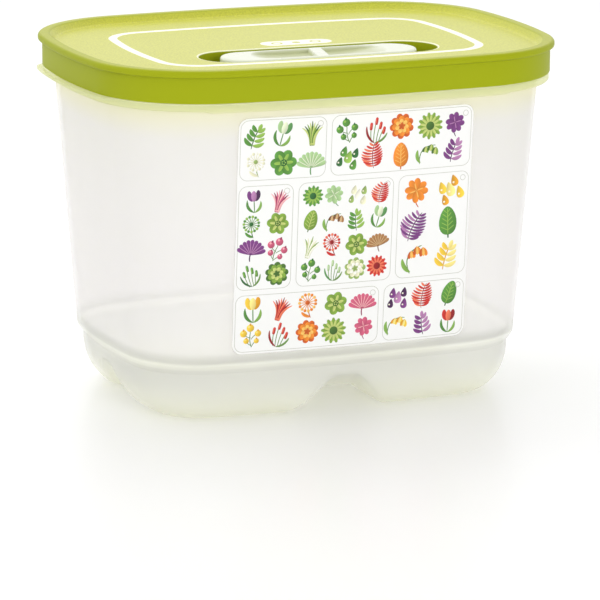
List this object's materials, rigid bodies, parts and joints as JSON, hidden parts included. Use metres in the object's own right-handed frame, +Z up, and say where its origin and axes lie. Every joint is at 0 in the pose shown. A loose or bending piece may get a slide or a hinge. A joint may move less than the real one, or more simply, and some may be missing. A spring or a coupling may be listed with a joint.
{
  "type": "vegetable storage container",
  "caption": "Rounded rectangular fridge keeper: translucent stepped tub on feet, press-on lid with a channel seal, and an oval well holding an air-vent slide.",
  "frame": {"origin": "middle of the container, on the surface its feet stand on", "axes": "+X along the long side towards the end without the grip lip, +Y to the back, +Z up; the printed film and the vent are on the -Y side"},
  "size_m": [0.2507, 0.1884, 0.1813],
  "materials": {
    "tub_plastic": "frosted translucent polypropylene, satin outside",
    "lid_plastic": "lime green, fine grain on the panel and satin on the bead and skirt",
    "slide_plastic": "pearly white, softly polished",
    "label_film": "thin milky film with a printed chart"
  },
  "bodies": {
    "tub": {"tub": "tub_plastic", "chart_label": "label_film"},
    "lid": {"lid": "lid_plastic"},
    "vent_slide": {"vent_slide": "slide_plastic"}
  },
  "joints": [
    {"name": "lid_lift", "type": "slide", "parent": "tub", "child": "lid", "axis": [0, 0, 1], "range_m": [0, 0.04]},
    {"name": "vent_travel", "type": "slide", "parent": "lid", "child": "vent_slide", "axis": [1, 0, 0], "range_m": [-0.0105, 0.0105]}
  ]
}
